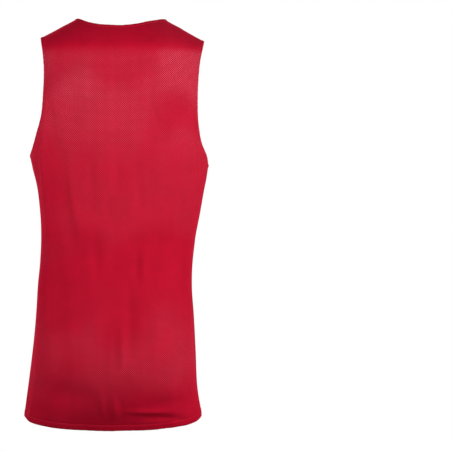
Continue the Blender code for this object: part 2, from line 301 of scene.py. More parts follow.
@dataclass
class Cut:
    """The jersey's cut and how it stands when filled out."""

    wall: float = 1.0 * MM
    seam_gap: float = 0.3 * MM
    seam_lap: float = 0.02 * MM
    hem_at_sides: float = -0.691
    hem_drop: dict = field(default_factory=lambda: {Panel.BACK: 0.0215, Panel.FRONT: 0.012})
    hem_curve: float = 2.6
    armpit: dict = field(default_factory=lambda: {Side.LEFT: -0.2292, Side.RIGHT: -0.2436})
    shoulder_tip: dict = field(default_factory=lambda: {Side.LEFT: -0.0185, Side.RIGHT: -0.0225})
    neck_point: float = 0.0170
    neck_half_width: float = 0.078
    tip_half_width: dict = field(default_factory=lambda: {Side.LEFT: 0.1438, Side.RIGHT: 0.1490})
    yoke_line: dict = field(default_factory=lambda: {Panel.BACK: -0.041, Panel.FRONT: -0.140})
    yoke_turn: float = 1.24
    ridge_turn: float = 2.0
    neck_rise: float = 0.014
    neck_drop: dict = field(default_factory=lambda: {Panel.BACK: -0.0020, Panel.FRONT: -0.088})
    neck_climb: dict = field(
        default_factory=lambda: {
            (Panel.BACK, Side.LEFT): 3.2,
            (Panel.BACK, Side.RIGHT): 1.5,
            (Panel.FRONT, Side.LEFT): 2.4,
            (Panel.FRONT, Side.RIGHT): 2.4,
        }
    )
    armhole_reach: dict = field(default_factory=lambda: {Panel.BACK: 0.057, Panel.FRONT: 0.056})
    armhole_oval_centre: float = 0.53
    front_cut_in: float = 0.016
    squareness: float = 2.5

    @property
    def neck_share(self) -> float:
        """Share of the way to the side at which the columns meet the neck point."""
        return 2 * self.neck_half_width / sum(self.tip_half_width.values())

    def edge(self, panel: Panel, side: Side, height: float) -> tuple[float, float]:
        """Finds where a panel ends at a height.

        Args:
            panel: The panel.
            side: The wearer's side.
            height: The height.

        Returns:
            The distance of its edge to the side and in depth, both positive.
        """
        armpit, tip = self.armpit[side], self.shoulder_tip[side]
        if height <= armpit:
            share = (height - self.hem_at_sides) / (armpit - self.hem_at_sides)
            return through(SIDE_SEAMS, side.value, "share", share), 0.0
        share = (height - armpit) / (tip - armpit)
        out = through(ARMHOLE_EDGES, side.value, "share", share)
        if panel is Panel.FRONT:
            out -= self.front_cut_in * math.sin(math.pi * min(share, 1.0))
        off_centre = min(abs(share / self.armhole_oval_centre - 1), 1.0)
        return out, self.armhole_reach[panel] * math.sqrt(1 - off_centre**2)

    def half_section(
        self, panel: Panel, side: Side, height: float, shares: np.ndarray
    ) -> tuple[np.ndarray, np.ndarray, float]:
        """Follows a level section from the middle to the panel's edge.

        Args:
            panel: The panel.
            side: The wearer's side.
            height: The section's height.
            shares: Shares of the way round at which points are wanted.

        Returns:
            The points' distances to the side and in depth, and the section's length.
        """
        depth = through(DEPTHS, panel.value, "height", height)
        edge_out, edge_depth = self.edge(panel, side, height)
        edge_depth = max(edge_depth, self.seam_gap / 2)
        power = self.squareness
        full_width = edge_out / (1 - (edge_depth / depth) ** power) ** (1 / power)
        out = np.sin(np.linspace(0, np.pi / 2, SECTION_STEPS)) ** (2 / power) * edge_out
        back = depth * (1 - (out / full_width) ** power) ** (1 / power)
        length = np.concatenate([[0], np.cumsum(np.hypot(np.diff(out), np.diff(back)))])
        at = shares * length[-1]
        return np.interp(at, length, out), np.interp(at, length, back), length[-1]

    def ridge(self, side: Side, out: np.ndarray) -> np.ndarray:
        """Height of the shoulder ridge, carried on across the neck."""
        past_neck = (out - self.neck_half_width) / (self.tip_half_width[side] - self.neck_half_width)
        fall = self.shoulder_tip[side] - self.neck_point
        inside = np.clip(1 - (out / self.neck_half_width) ** 2, 0, 1)
        return self.neck_point + fall * np.clip(past_neck, 0, 1) + self.neck_rise * inside

    def neckline(self, panel: Panel, side: Side, out: np.ndarray) -> np.ndarray:
        """Height of the neck edge at a distance from the middle."""
        drop = self.neck_drop[panel]
        climb = (out / self.neck_half_width) ** self.neck_climb[panel, side]
        return drop + (self.neck_point - drop) * climb

    def hem(self, panel: Panel, out_share: float) -> float:
        """Height of the hem at a share of the way out to the side seam."""
        return self.hem_at_sides - self.hem_drop[panel] * math.sqrt(
            max(1 - out_share**self.hem_curve, 0)
        )

    def paths(self, panel: Panel, side: Side, shares: np.ndarray) -> tuple[np.ndarray, ...]:
        """Follows each column of a panel from below the hem up to the ridge.

        Args:
            panel: The panel.
            side: The wearer's side.
            shares: The columns' shares of the way from the middle to the side.

        Returns:
            Distance out, depth, height and distance round, as arrays of steps by columns.
        """
        armpit, yoke = self.armpit[side], self.yoke_line[panel]
        below = np.linspace(self.hem_at_sides - self.hem_drop[panel], armpit, BODY_STEPS)
        rise = 1 - np.cos(np.linspace(0, np.pi / 2, CHEST_STEPS))[1:]
        heights = np.concatenate([below, armpit + (yoke - armpit) * rise])
        body = [self.half_section(panel, side, z, shares) for z in heights]
        out = np.array([row[0] for row in body])
        depth = np.array([row[1] for row in body])
        across = np.array([shares * row[2] for row in body])
        height = np.repeat(heights[:, None], len(shares), axis=1)
        past_neck = (shares - self.neck_share) / (1 - self.neck_share)
        ridge_out = np.where(
            shares <= self.neck_share,
            self.neck_half_width * shares / self.neck_share,
            self.neck_half_width + (self.tip_half_width[side] - self.neck_half_width) * past_neck,
        )
        turn = np.linspace(0, np.pi / 2, SLOPE_STEPS)[1:, None]
        up = np.sin(turn) ** (2 / self.yoke_turn)
        forward = np.cos(turn) ** (2 / self.ridge_turn)
        seam = self.seam_gap / 2
        arcs = (
            out[-1] + (ridge_out - out[-1]) * up,
            seam + (depth[-1] - seam) * forward,
            yoke + (self.ridge(side, ridge_out) - yoke) * up,
            across[-1] + (ridge_out - out[-1]) * up,
        )
        return tuple(np.concatenate(pair) for pair in zip((out, depth, height, across), arcs))


@dataclass
class Grid:
    """A panel's surface as a grid of points, from the hem up and from the right side to the left."""

    points: np.ndarray
    across: np.ndarray
    neck_columns: slice
    armpit_row: int

    @property
    def shape(self) -> tuple[int, int]:
        """Number of rows and columns."""
        return self.points.shape[:2]

    def normals(self) -> np.ndarray:
        """Unit normals that point out of the body, and run level with the seams on them."""
        along = np.gradient(self.points, axis=0)
        round_it = np.gradient(self.points, axis=1)
        normals = np.cross(round_it, along)
        row, column = self.armpit_row, self.shape[1] // 2
        if normals[row, column, 1] * self.points[row, column, 1] < 0:
            normals = -normals
        normals /= np.linalg.norm(normals, axis=2, keepdims=True)
        for _ in range(3):
            wide = np.pad(normals, ((1, 1), (1, 1), (0, 0)), mode="edge")
            around = wide[2:, 1:-1] + wide[:-2, 1:-1] + wide[1:-1, 2:] + wide[1:-1, :-2]
            normals = around + 2 * normals
            normals /= np.linalg.norm(normals, axis=2, keepdims=True)
        for edge in (0, -1):
            normals[: self.armpit_row + 1, edge, 1] = 0
        normals[-1, : self.neck_columns.start + 1, 1] = 0
        normals[-1, self.neck_columns.stop - 1 :, 1] = 0
        return normals / np.linalg.norm(normals, axis=2, keepdims=True)


@dataclass
class Edge:
    """How far each point of a panel is from one of its edges, and how far along that edge."""

    distance: np.ndarray
    along: np.ndarray

    @classmethod
    def measured(cls, line: np.ndarray, points: np.ndarray) -> Edge:
        """Measures how far every point of a grid is from a line of points.

        Args:
            line: The line's points.
            points: The grid's points.

        Returns:
            The edge with its measures.
        """
        steps = np.linalg.norm(np.diff(line, axis=0), axis=1)
        length = np.concatenate([[0], np.cumsum(steps)])
        even = np.linspace(0, length[-1], int(length[-1] / MM))
        fine = np.stack([np.interp(even, length, line[:, k]) for k in range(3)], axis=1)
        flat = points.reshape(-1, 3)
        distance = np.empty(len(flat))
        nearest = np.empty(len(flat), int)
        batch = 4000
        for start in range(0, len(flat), batch):
            part = slice(start, start + batch)
            gap = flat[part, None, :] - fine[None, :, :]
            square = np.einsum("ijk,ijk->ij", gap, gap)
            nearest[part] = square.argmin(axis=1)
            distance[part] = np.sqrt(square.min(axis=1))
        shape = points.shape[:2]
        return cls(distance.reshape(shape), even[nearest].reshape(shape))


@dataclass
class PanelForm:
    """One panel's surface as it is worn, with its folds and the pull of its stitching."""

    cut: Cut
    panel: Panel
    folds: tuple
    spacing: float = 3.2 * MM
    stitch_inset: float = 6.0 * MM
    hem_inset: float = 11.5 * MM
    fine_steps: tuple = (0.0, 0.5, 1.2, 2.4, 3.8, 5.0, 6.0, 7.0, 8.4, 10.2, 12.6)
    neck_steps: tuple = (0.0, 0.12, 0.45, 1.0, 1.8, 2.8, 4.0, 5.4, 7.0, 9.2, 11.8)
    hem_steps: tuple = (0.0, 0.5, 1.2, 2.6, 4.6, 7.0, 9.2, 10.5, 11.5, 12.5, 14.0, 16.4)
    round_length: float = 1.13
    chest_length: float = 1.35
    armpit_slant: float = 0.6
    yoke_softness: int = 9
    armpit_softness: int = 30
    armpit_rows: int = 16
    calm_rows: int = 2
    fade_rows: int = 10
    stretch_sample: float = 3 * MM
    stretch_columns: int = 12
    stretch_softness: int = 4
    least_turn: float = 0.3
    fold_reach: float = 1.2
    fold_wander: float = 0.22
    seam_calm: float = 22 * MM
    armhole_calm: float = 11 * MM
    pucker_length: float = 10.5 * MM
    pucker_width: float = 7 * MM
    pucker_height: float = 0.34 * MM
    slack_calm: float = 18 * MM
    slack_height: float = 1.5 * MM
    slack_size: tuple = (0.055, 0.12)
    wrinkle_size: tuple = (0.020, 0.095)
    wrinkle_share: float = 0.62
    line_step: float = 2.0 * MM
    line_reach: float = 5 * MM
    line_blur: tuple = (2.4 * MM, 1.1 * MM)
    grid: Grid = field(init=False)
    edges: dict = field(init=False)

    def __post_init__(self) -> None:
        """Lays out the grid, then the edges and the relief on it."""
        self.grid = self.laid_out()
        self.edges = self.measured_edges()
        relief = self.folded() + self.puckered() + self.slack()
        self.grid.points = self.grid.points + self.grid.normals() * relief[:, :, None]

    def column_shares(self) -> tuple[np.ndarray, int]:
        """Spreads the columns of a half panel, closest at the neck point and the edge.

        Returns:
            The shares from the middle to the edge, and how many lie inside the neck point.
        """
        neck = self.cut.neck_share
        length = self.cut.neck_half_width / neck * self.round_length
        fine = np.array(self.fine_steps) * MM / length
        near_neck = np.array(self.neck_steps) * MM / length
        inner = np.linspace(0, neck - near_neck[-1], int((neck * length) / self.spacing))
        strap = np.linspace(
            neck + near_neck[-1], 1 - fine[-1], int((1 - neck) * length / self.spacing)
        )
        inside = np.concatenate([inner, neck - near_neck[-2::-1]])
        outside = np.concatenate([neck + near_neck[1:-1], strap, 1 - fine[-2::-1]])
        return np.concatenate([inside, outside]), len(inside) - 1

    def laid_out(self) -> Grid:
        """Cuts the panel's columns off at the hem and the top and spreads the rows on them."""
        shares, neck = self.column_shares()
        halves = {side: self.half(side, shares, neck) for side in Side}
        left, right = halves[Side.LEFT], halves[Side.RIGHT]
        left[:, 0] = (left[:, 0] + right[:, 0]) / 2
        both = np.concatenate([right[:, :0:-1], left], axis=1)
        self.soften(both)
        outside = len(shares) - 1 - neck
        columns = slice(outside, both.shape[1] - outside)
        # The two panels meet in the seams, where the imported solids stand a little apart.
        seam = -self.cut.seam_lap if self.panel is Panel.BACK else self.cut.seam_lap
        both[: self.body_rows(), (0, -1), 1] = seam
        both[-1, : columns.start + 1, 1] = seam
        both[-1, columns.stop - 1 :, 1] = seam
        return Grid(both[:, :, :3], both[:, :, 3], columns, self.body_rows() - 1)

    def soften(self, both: np.ndarray) -> None:
        """Rounds the panel over its yoke line, and level with the armpits but not at their corners.

        Args:
            both: The panel's rows by columns, changed in place.
        """
        rows, columns = both.shape[:2]
        armpit = self.body_rows() - 1
        inward = np.minimum(np.arange(columns), np.arange(columns)[::-1]) / len(self.fine_steps)
        away = np.arange(rows) - armpit
        above = np.clip((away - self.calm_rows) / self.fade_rows, 0, 1)
        near = np.clip((self.armpit_rows - np.abs(away)) / self.fade_rows, 0, 1)
        top = np.arange(rows) < rows - len(self.fine_steps)
        for passes, share in (
            (self.yoke_softness, (above * top)[:, None] * np.ones(columns)),
            (self.armpit_softness, near[:, None] * smooth_step(inward)),
        ):
            for _ in range(passes):
                between = (both[:-2] + 2 * both[1:-1] + both[2:]) / 4
                both[1:-1] += (between - both[1:-1]) * share[1:-1, :, None]

    def body_rows(self) -> int:
        """Number of rows from the hem to the armpit."""
        length = np.mean(list(self.cut.armpit.values())) - self.cut.hem_at_sides
        return len(self.hem_steps) + int(length / self.spacing)

    def half(self, side: Side, shares: np.ndarray, neck: int) -> np.ndarray:
        """Lays out one half of the panel.

        Args:
            side: The wearer's side.
            shares: The columns' shares of the way from the middle to the side.
            neck: The column that meets the neck point.

        Returns:
            Rows by columns of across, depth, height and distance round the body.
        """
        cut = self.cut
        out, depth, height, across = cut.paths(self.panel, side, shares)
        out_sign = 1 if side is Side.LEFT else -1
        depth_sign = 1 if self.panel is Panel.BACK else -1
        mean_armpit = float(np.mean(list(cut.armpit.values())))
        hem_steps = np.array(self.hem_steps) * MM
        chest_count = int((cut.neck_point - mean_armpit) * self.chest_length / self.spacing)
        steps = np.sqrt(sum(np.diff(path, axis=0) ** 2 for path in (out, depth, height)))
        along = np.concatenate([np.zeros((1, len(shares))), np.cumsum(steps, axis=0)])
        tops = along[-1].copy()
        for i in range(neck):
            above = height[:, i] - cut.neckline(self.panel, side, out[:, i])
            k = int(np.argmax(above > 0))
            part = above[k - 1] / (above[k - 1] - above[k])
            tops[i] = along[k - 1, i] + part * (along[k, i] - along[k - 1, i])
        stretch = self.fine_stretch((out, depth, height), along, tops, neck)
        columns = []
        for i, share in enumerate(shares):
            low_height = cut.hem(self.panel, out[0, i] / out[0, -1])
            slant = min(share / self.armpit_slant, 1) ** 2
            split = mean_armpit + (cut.armpit[side] - mean_armpit) * slant
            low, middle = np.interp([low_height, split], height[:, i], along[:, i])
            fine = np.array(self.fine_steps) * MM * stretch[i]
            body = np.linspace(low + hem_steps[-1], middle, self.body_rows() - len(hem_steps) + 1)
            chest = np.linspace(middle, tops[i] - fine[-1], chest_count)[1:]
            at = np.concatenate([low + hem_steps[:-1], body, chest, tops[i] - fine[-2::-1]])
            x, y, z, u = (np.interp(at, along[:, i], v[:, i]) for v in (out, depth, height, across))
            columns.append(np.stack([out_sign * x, depth_sign * y, z, out_sign * u], axis=1))
        return np.stack(columns, axis=1)

    def fine_stretch(
        self, path: tuple, along: np.ndarray, tops: np.ndarray, neck: int
    ) -> np.ndarray:
        """Works out how far apart the fine rows lie, so that they follow the neck edge evenly.

        Args:
            path: Distance out, depth and height of every column, step by step.
            along: Distance along every column, step by step.
            tops: Where each column ends, along it.
            neck: The column that meets the neck point.

        Returns:
            For each column, its length for each unit of distance from the edge.
        """
        count = len(tops)

        def places(below_top: float) -> np.ndarray:
            """The columns' points at a distance below their tops."""
            at = tops - below_top
            return np.array([[np.interp(at[i], along[:, i], v[:, i]) for v in path] for i in range(count)])

        edge = np.gradient(places(0)[: neck + 1], axis=0)
        column = (places(0) - places(self.stretch_sample))[: neck + 1]
        turn = np.linalg.norm(np.cross(edge, column), axis=1)
        turn /= np.linalg.norm(edge, axis=1) * np.linalg.norm(column, axis=1)
        stretch = np.ones(count)
        stretch[: neck + 1] = 1 / np.clip(turn, self.least_turn, 1)
        fade = np.arange(count - neck) / self.stretch_columns
        stretch[neck:] = 1 + (stretch[neck - 1] - 1) * (1 - smooth_step(fade))
        for _ in range(self.stretch_softness):
            stretch[1:-1] = (stretch[:-2] + 2 * stretch[1:-1] + stretch[2:]) / 4
        return stretch

    def measured_edges(self) -> dict[str, Edge]:
        """Finds the panel's sewn and turned edges on its grid."""
        points, neck, row = self.grid.points, self.grid.neck_columns, self.grid.armpit_row
        lines = {
            "neck": points[-1, neck],
            "right_armhole": points[row:, 0],
            "left_armhole": points[row:, -1],
            "right_side": points[: row + 1, 0],
            "left_side": points[: row + 1, -1],
            "right_shoulder": points[-1, : neck.start + 1],
            "left_shoulder": points[-1, neck.stop - 1 :],
            "hem": points[0],
        }
        return {name: Edge.measured(line, points) for name, line in lines.items()}

    def folded(self) -> np.ndarray:
        """Relief of the folds that are laid by hand, dying out at the seams."""
        across, height = self.grid.across / MM, self.grid.points[:, :, 2] / MM
        relief = np.zeros_like(height)
        for fold in self.folds:
            run = np.array([fold.across_to - fold.across_from, fold.height_to - fold.height_from])
            length = np.hypot(*run)
            du, dz = across - fold.across_from, height - fold.height_from
            share = (du * run[0] + dz * run[1]) / length**2
            share = 0.5 + (share - 0.5) / self.fold_reach
            along = np.clip(share, 0, 1)
            at = 0.5 + (along - 0.5) * self.fold_reach
            away = np.hypot(du - at * run[0], dz - at * run[1])
            # Real folds wander a little from the straight line and are never of one width.
            inside = (share > 0) & (share < 1)
            wander = 1 + self.fold_wander * np.sin(6.3 * share + fold.height_from) * inside
            fade = (1 - (2 * along - 1) ** 2) ** 1.3
            relief += fold.depth * fade * np.exp(-((away / (fold.width * wander)) ** 2))
        for name in ("left_side", "right_side", "left_shoulder", "right_shoulder"):
            relief *= smooth_step(self.edges[name].distance / self.seam_calm)
        for name in ("left_armhole", "right_armhole"):
            relief *= smooth_step(self.edges[name].distance / self.armhole_calm)
        return relief * MM

    def puckered(self) -> np.ndarray:
        """Small ripples where the rows of stitching draw the cloth in."""
        relief = np.zeros(self.grid.shape)
        for k, name in enumerate(("neck", "left_armhole", "right_armhole", "hem")):
            edge = self.edges[name]
            # Slower waves draw the ripples out, squeeze them and vary their height.
            phase = 2 * math.pi * edge.along / self.pucker_length + 1.7 * k
            uneven = np.sin(phase + 1.4 * np.sin(phase * 0.31)) * (0.6 + 0.4 * np.sin(phase * 0.17))
            inset = self.hem_inset if name == "hem" else self.stitch_inset
            near = np.exp(-(((edge.distance - inset) / self.pucker_width) ** 2))
            relief += uneven * near * self.pucker_height
        return relief

    def slack(self) -> np.ndarray:
        """The soft unevenness of limp knit between the folds."""
        across, height = self.grid.across, self.grid.points[:, :, 2]
        offset = SLACK_PLACE[self.panel]
        wide, long = self.slack_size
        narrow, short = self.wrinkle_size
        relief = np.empty(self.grid.shape)
        for r in range(relief.shape[0]):
            for c in range(relief.shape[1]):
                place = Vector((across[r, c] / wide, height[r, c] / long, offset))
                small = Vector((across[r, c] / narrow, height[r, c] / short, offset + 5))
                relief[r, c] = noise.noise(place) + self.wrinkle_share * noise.noise(small)
        seams = ("left_side", "right_side", "left_shoulder", "right_shoulder")
        nearest = np.min([self.edges[name].distance for name in seams], axis=0)
        return relief * self.slack_height * smooth_step(nearest / self.slack_calm)

    def line_inset(self, name: str, inset: float, lift: float) -> tuple[np.ndarray, np.ndarray]:
        """Finds the line on the panel at a distance in from one of its edges.

        Args:
            name: The edge's name.
            inset: The distance from the edge.
            lift: How far out of the surface the line lies.

        Returns:
            The line's points in order, and the surface's normals there.
        """
        edge = self.edges[name]
        normals = self.grid.normals().reshape(-1, 3)
        points = self.grid.points.reshape(-1, 3)
        distance, along = edge.distance.reshape(-1), edge.along.reshape(-1)
        near = np.abs(distance - inset) < self.line_reach
        blur_along, blur_across = self.line_blur
        places, outs = [], []
        for at in np.arange(0, edge.along.max(), self.line_step):
            weight = np.exp(-(((along[near] - at) / blur_along) ** 2))
            weight *= np.exp(-(((distance[near] - inset) / blur_across) ** 2))
            # At the ends of an edge no point of the grid may be near enough.
            if weight.sum() < 0.05:
                continue
            weight /= weight.sum()
            out = weight @ normals[near]
            places.append(weight @ points[near])
            outs.append(out / np.linalg.norm(out))
        places, outs = np.array(places), np.array(outs)
        return places + outs * lift, outs


@dataclass
class PanelShell:
    """The cloth of one panel of one layer, as a closed thin wall."""

    form: PanelForm
    layer: Layer
    roll: float = 1.6 * MM
    band_rise: float = 0.75 * MM
    hem_rise_share: float = 0.6
    band_lap: float = 0.6 * MM
    band_slope: float = 1.6 * MM
    rim_share: float = 0.55
    groove_depth: float = 0.5 * MM
    groove_width: float = 1.15 * MM
    seam_dip: float = 0.4 * MM
    seam_dip_width: float = 1.4 * MM
    seam_ridge: float = 0.25 * MM
    seam_ridge_inset: float = 4 * MM
    seam_ridge_width: float = 2.5 * MM
    least_wall: float = 0.12 * MM

    @property
    def name(self) -> str:
        """The name of the CAD node that the shell stands for."""
        return f"{self.layer.value}_{self.form.panel.value}"

    def face_relief(self) -> np.ndarray:
        """Relief of the layer's own shown face: turned edges, stitch grooves and seams."""
        form = self.form
        relief = np.zeros(form.grid.shape)
        turned = ("neck", "left_armhole", "right_armhole", "hem")
        for name in turned:
            distance = form.edges[name].distance
            inset = form.hem_inset if name == "hem" else form.stitch_inset
            rise = self.band_rise * (self.hem_rise_share if name == "hem" else 1.0)
            relief += rise * smooth_step((inset + self.band_lap - distance) / self.band_slope)
            relief -= self.groove_depth * np.exp(-(((distance - inset) / self.groove_width) ** 2))
            edge_drop = 1 - np.sqrt(1 - np.clip(1 - distance / self.roll, 0, 1) ** 2)
            relief -= edge_drop * (rise + self.rim_share * form.cut.wall)
        for name in ("left_side", "right_side", "left_shoulder", "right_shoulder"):
            distance = form.edges[name].distance
            ridge = (distance - self.seam_ridge_inset) / self.seam_ridge_width
            relief -= self.seam_dip * np.exp(-((distance / self.seam_dip_width) ** 2))
            relief += self.seam_ridge * np.exp(-(ridge**2))
        return relief

    def faces_of_wall(self) -> tuple[np.ndarray, np.ndarray]:
        """The wall's face away from the body and its face towards the body."""
        form, cut = self.form, self.form.cut
        points, normals = form.grid.points, form.grid.normals()
        relief = self.face_relief()
        if self.layer is Layer.OUTER:
            away, toward = relief, np.full_like(relief, -cut.wall)
            away = np.maximum(away, toward + self.least_wall)
        else:
            away = np.full_like(relief, -cut.wall - cut.seam_gap)
            toward = np.minimum(-2 * cut.wall - cut.seam_gap - relief, away - self.least_wall)
        return points + normals * away[:, :, None], points + normals * toward[:, :, None]

    def build(self, cloth: bpy.types.Material) -> bpy.types.Object:
        """Makes the shell's mesh and dresses it.

        Args:
            cloth: The layer's cloth.

        Returns:
            The finished piece.
        """
        away, toward = self.faces_of_wall()
        rows, columns = self.form.grid.shape
        index = np.arange(rows * columns).reshape(rows, columns)
        quads = np.stack(
            [index[:-1, :-1], index[:-1, 1:], index[1:, 1:], index[1:, :-1]], axis=-1
        ).reshape(-1, 4)
        if self.form.panel is Panel.BACK:
            quads = quads[:, ::-1]
        second = quads[:, ::-1] + rows * columns
        border = np.concatenate(
            [index[0, :-1], index[:-1, -1], index[-1, :0:-1], index[:0:-1, 0]]
        )
        ahead = np.roll(border, -1)
        rim = np.stack([ahead, border, border + rows * columns, ahead + rows * columns], axis=-1)
        if self.form.panel is Panel.BACK:
            rim = rim[:, ::-1]
        vertices = np.concatenate([away.reshape(-1, 3), toward.reshape(-1, 3)])
        faces = np.concatenate([quads, second, rim])
        mesh = bpy.data.meshes.new(f"{self.name}_cloth")
        mesh.from_pydata(vertices.tolist(), [], faces.tolist())
        flat = np.stack([self.form.grid.across, self.form.grid.points[:, :, 2]], axis=-1)
        flat = np.tile(flat.reshape(-1, 2), (2, 1))
        uv = mesh.uv_layers.new(name=UV_NAME)
        uv.data.foreach_set("uv", flat[faces.reshape(-1)].reshape(-1))
        mesh.polygons.foreach_set("use_smooth", [True] * len(faces))
        mesh.materials.append(cloth)
        mesh.validate()
        mesh.update()
        piece = bpy.data.objects.new(f"{self.name}_cloth", mesh)
        bpy.context.scene.collection.objects.link(piece)
        return piece


@dataclass
class StitchRun:
    """A row of machine stitches that follows a line on the cloth."""

    name: str
    places: list
    outs: list
    length: float = 2.5 * MM
    pitch: float = 3.1 * MM
    thread: float = 0.28 * MM
    seed: int = 7

    def line(self) -> bpy.types.Object:
        """The lines that the stitches follow, with the cloth's outward direction on them."""
        mesh = bpy.data.meshes.new(f"{self.name}_line")
        vertices, edges, outs = [], [], []
        for places, normals in zip(self.places, self.outs):
            first = len(vertices)
            vertices += [tuple(place) for place in places]
            outs += [tuple(normal) for normal in normals]
            edges += [(k, k + 1) for k in range(first, len(vertices) - 1)]
        mesh.from_pydata(vertices, edges, [])
        attribute = mesh.attributes.new("cloth_out", "FLOAT_VECTOR", "POINT")
        attribute.data.foreach_set("vector", np.array(outs).reshape(-1))
        line = bpy.data.objects.new(self.name, mesh)
        bpy.context.scene.collection.objects.link(line)
        return line

    def tree(self) -> bpy.types.NodeTree:
        """The Geometry Nodes tree that sets a stitch at every pitch along the lines."""
        tree = bpy.data.node_groups.new(f"{self.name}_stitches", "GeometryNodeTree")
        face = tree.interface
        face.new_socket("Geometry", in_out="INPUT", socket_type="NodeSocketGeometry")
        for name in ("Stitch length", "Stitch pitch", "Thread radius"):
            face.new_socket(name, in_out="INPUT", socket_type="NodeSocketFloat")
        face.new_socket("Thread", in_out="INPUT", socket_type="NodeSocketMaterial")
        face.new_socket("Geometry", in_out="OUTPUT", socket_type="NodeSocketGeometry")
        start = add_node(tree, "NodeGroupInput")
        curve = add_node(tree, "GeometryNodeMeshToCurve", links={"Mesh": start.outputs[0]})
        spaced = add_node(
            tree,
            "GeometryNodeResampleCurve",
            {"mode": "LENGTH"},
            {"Curve": curve.outputs[0], "Length": start.outputs["Stitch pitch"]},
        )
        tangent = add_node(tree, "GeometryNodeInputTangent")
        out = add_node(
            tree,
            "GeometryNodeInputNamedAttribute",
            {"data_type": "FLOAT_VECTOR"},
            {"Name": "cloth_out"},
        )
        forward = add_node(
            tree, "FunctionNodeAlignRotationToVector", {"axis": "X"}, {"Vector": tangent.outputs[0]}
        )
        upright = add_node(
            tree,
            "FunctionNodeAlignRotationToVector",
            {"axis": "Z", "pivot_axis": "X"},
            {"Rotation": forward.outputs[0], "Vector": out.outputs[0]},
        )
        half = add_node(
            tree,
            "ShaderNodeMath",
            {"operation": "MULTIPLY"},
            {0: start.outputs["Stitch length"], 1: 0.5},
        )
        radius = start.outputs["Thread radius"]
        size = add_node(
            tree, "ShaderNodeCombineXYZ", links={0: half.outputs[0], 1: radius, 2: radius}
        )
        bead = add_node(
            tree, "GeometryNodeMeshUVSphere", links={"Segments": 6, "Rings": 4, "Radius": 1.0}
        )
        uneven = add_node(
            tree,
            "FunctionNodeRandomValue",
            {"data_type": "FLOAT_VECTOR"},
            {0: (0.88, 0.9, 0.9), 1: (1.08, 1.1, 1.1), "Seed": self.seed},
        )
        scale = add_node(
            tree,
            "ShaderNodeVectorMath",
            {"operation": "MULTIPLY"},
            {0: size.outputs[0], 1: uneven.outputs[0]},
        )
        stitches = add_node(
            tree,
            "GeometryNodeInstanceOnPoints",
            links={
                "Points": spaced.outputs[0],
                "Instance": bead.outputs[0],
                "Rotation": upright.outputs[0],
                "Scale": scale.outputs[0],
            },
        )
        real = add_node(tree, "GeometryNodeRealizeInstances", links={0: stitches.outputs[0]})
        dressed = add_node(
            tree,
            "GeometryNodeSetMaterial",
            links={"Geometry": real.outputs[0], "Material": start.outputs["Thread"]},
        )
        add_node(tree, "NodeGroupOutput", links={0: dressed.outputs[0]})
        return tree

    def build(self, thread: bpy.types.Material) -> bpy.types.Object:
        """Sets the stitches and turns them into a plain mesh.

        Args:
            thread: The thread's material.

        Returns:
            The finished piece.
        """
        line = self.line()
        tree = self.tree()
        modifier = line.modifiers.new("stitches", "NODES")
        modifier.node_group = tree
        values = {
            "Stitch length": self.length,
            "Stitch pitch": self.pitch,
            "Thread radius": self.thread,
            "Thread": thread,
        }
        for item in tree.interface.items_tree:
            if item.in_out == "INPUT" and item.name in values:
                modifier[item.identifier] = values[item.name]
        evaluated = line.evaluated_get(bpy.context.evaluated_depsgraph_get())
        mesh = bpy.data.meshes.new_from_object(evaluated)
        mesh.polygons.foreach_set("use_smooth", [True] * len(mesh.polygons))
        bpy.data.objects.remove(line)
        piece = bpy.data.objects.new(self.name, mesh)
        bpy.context.scene.collection.objects.link(piece)
        return piece


def add_node(
    tree: bpy.types.NodeTree,
    kind: str,
    settings: dict | None = None,
    links: dict | None = None,
) -> bpy.types.Node:
    """Adds a node with its settings, values and links.

    Args:
        tree: The tree that gets the node.
        kind: The node's type.
        settings: Attributes of the node.
        links: An output socket or a plain value for each input, by name or number.

    Returns:
        The new node.
    """
    node = tree.nodes.new(kind)
    for name, value in (settings or {}).items():
        setattr(node, name, value)
    for key, value in (links or {}).items():
        if isinstance(key, int):
            socket = [s for s in node.inputs if s.enabled][key]
        else:
            socket = next(s for s in node.inputs if s.enabled and s.name == key)
        if isinstance(value, bpy.types.NodeSocket):
            tree.links.new(value, socket)
        else:
            socket.default_value = value
    return node


def linear(colour: str) -> tuple[float, float, float, float]:
    """Turns an sRGB hex colour into linear red, green, blue and alpha."""
    parts = [int(colour[k : k + 2], 16) / 255 for k in (1, 3, 5)]
    light = [c / 12.92 if c <= 0.04045 else ((c + 0.055) / 1.055) ** 2.4 for c in parts]
    return (light[0], light[1], light[2], 1.0)


def remap(
    tree: bpy.types.NodeTree,
    value: bpy.types.NodeSocket,
    source: tuple[float, float] = (0.0, 1.0),
    target: tuple[float, float] = (0.0, 1.0),
    smooth: bool = False,
) -> bpy.types.NodeSocket:
    """Turns one range of a value into another.

    Args:
        tree: The tree that gets the node.
        value: The value's socket.
        source: The range that it has.
        target: The range that it gets.
        smooth: Whether it eases at both ends.

    Returns:
        The new value's socket.
    """
    node = add_node(
        tree,
        "ShaderNodeMapRange",
        {"interpolation_type": "SMOOTHSTEP" if smooth else "LINEAR"},
        {
            "Value": value,
            "From Min": source[0],
            "From Max": source[1],
            "To Min": target[0],
            "To Max": target[1],
        },
    )
    return node.outputs[0]


def shaded(
    tree: bpy.types.NodeTree, colour: str, tone: bpy.types.NodeSocket
) -> bpy.types.NodeSocket:
    """Makes a colour lighter or darker by a tone.

    Args:
        tree: The tree that gets the node.
        colour: The sRGB hex colour.
        tone: The tone's socket.

    Returns:
        The shaded colour's socket.
    """
    links = {0: linear(colour)[:3], "Scale": tone}
    return add_node(tree, "ShaderNodeVectorMath", {"operation": "SCALE"}, links).outputs[0]


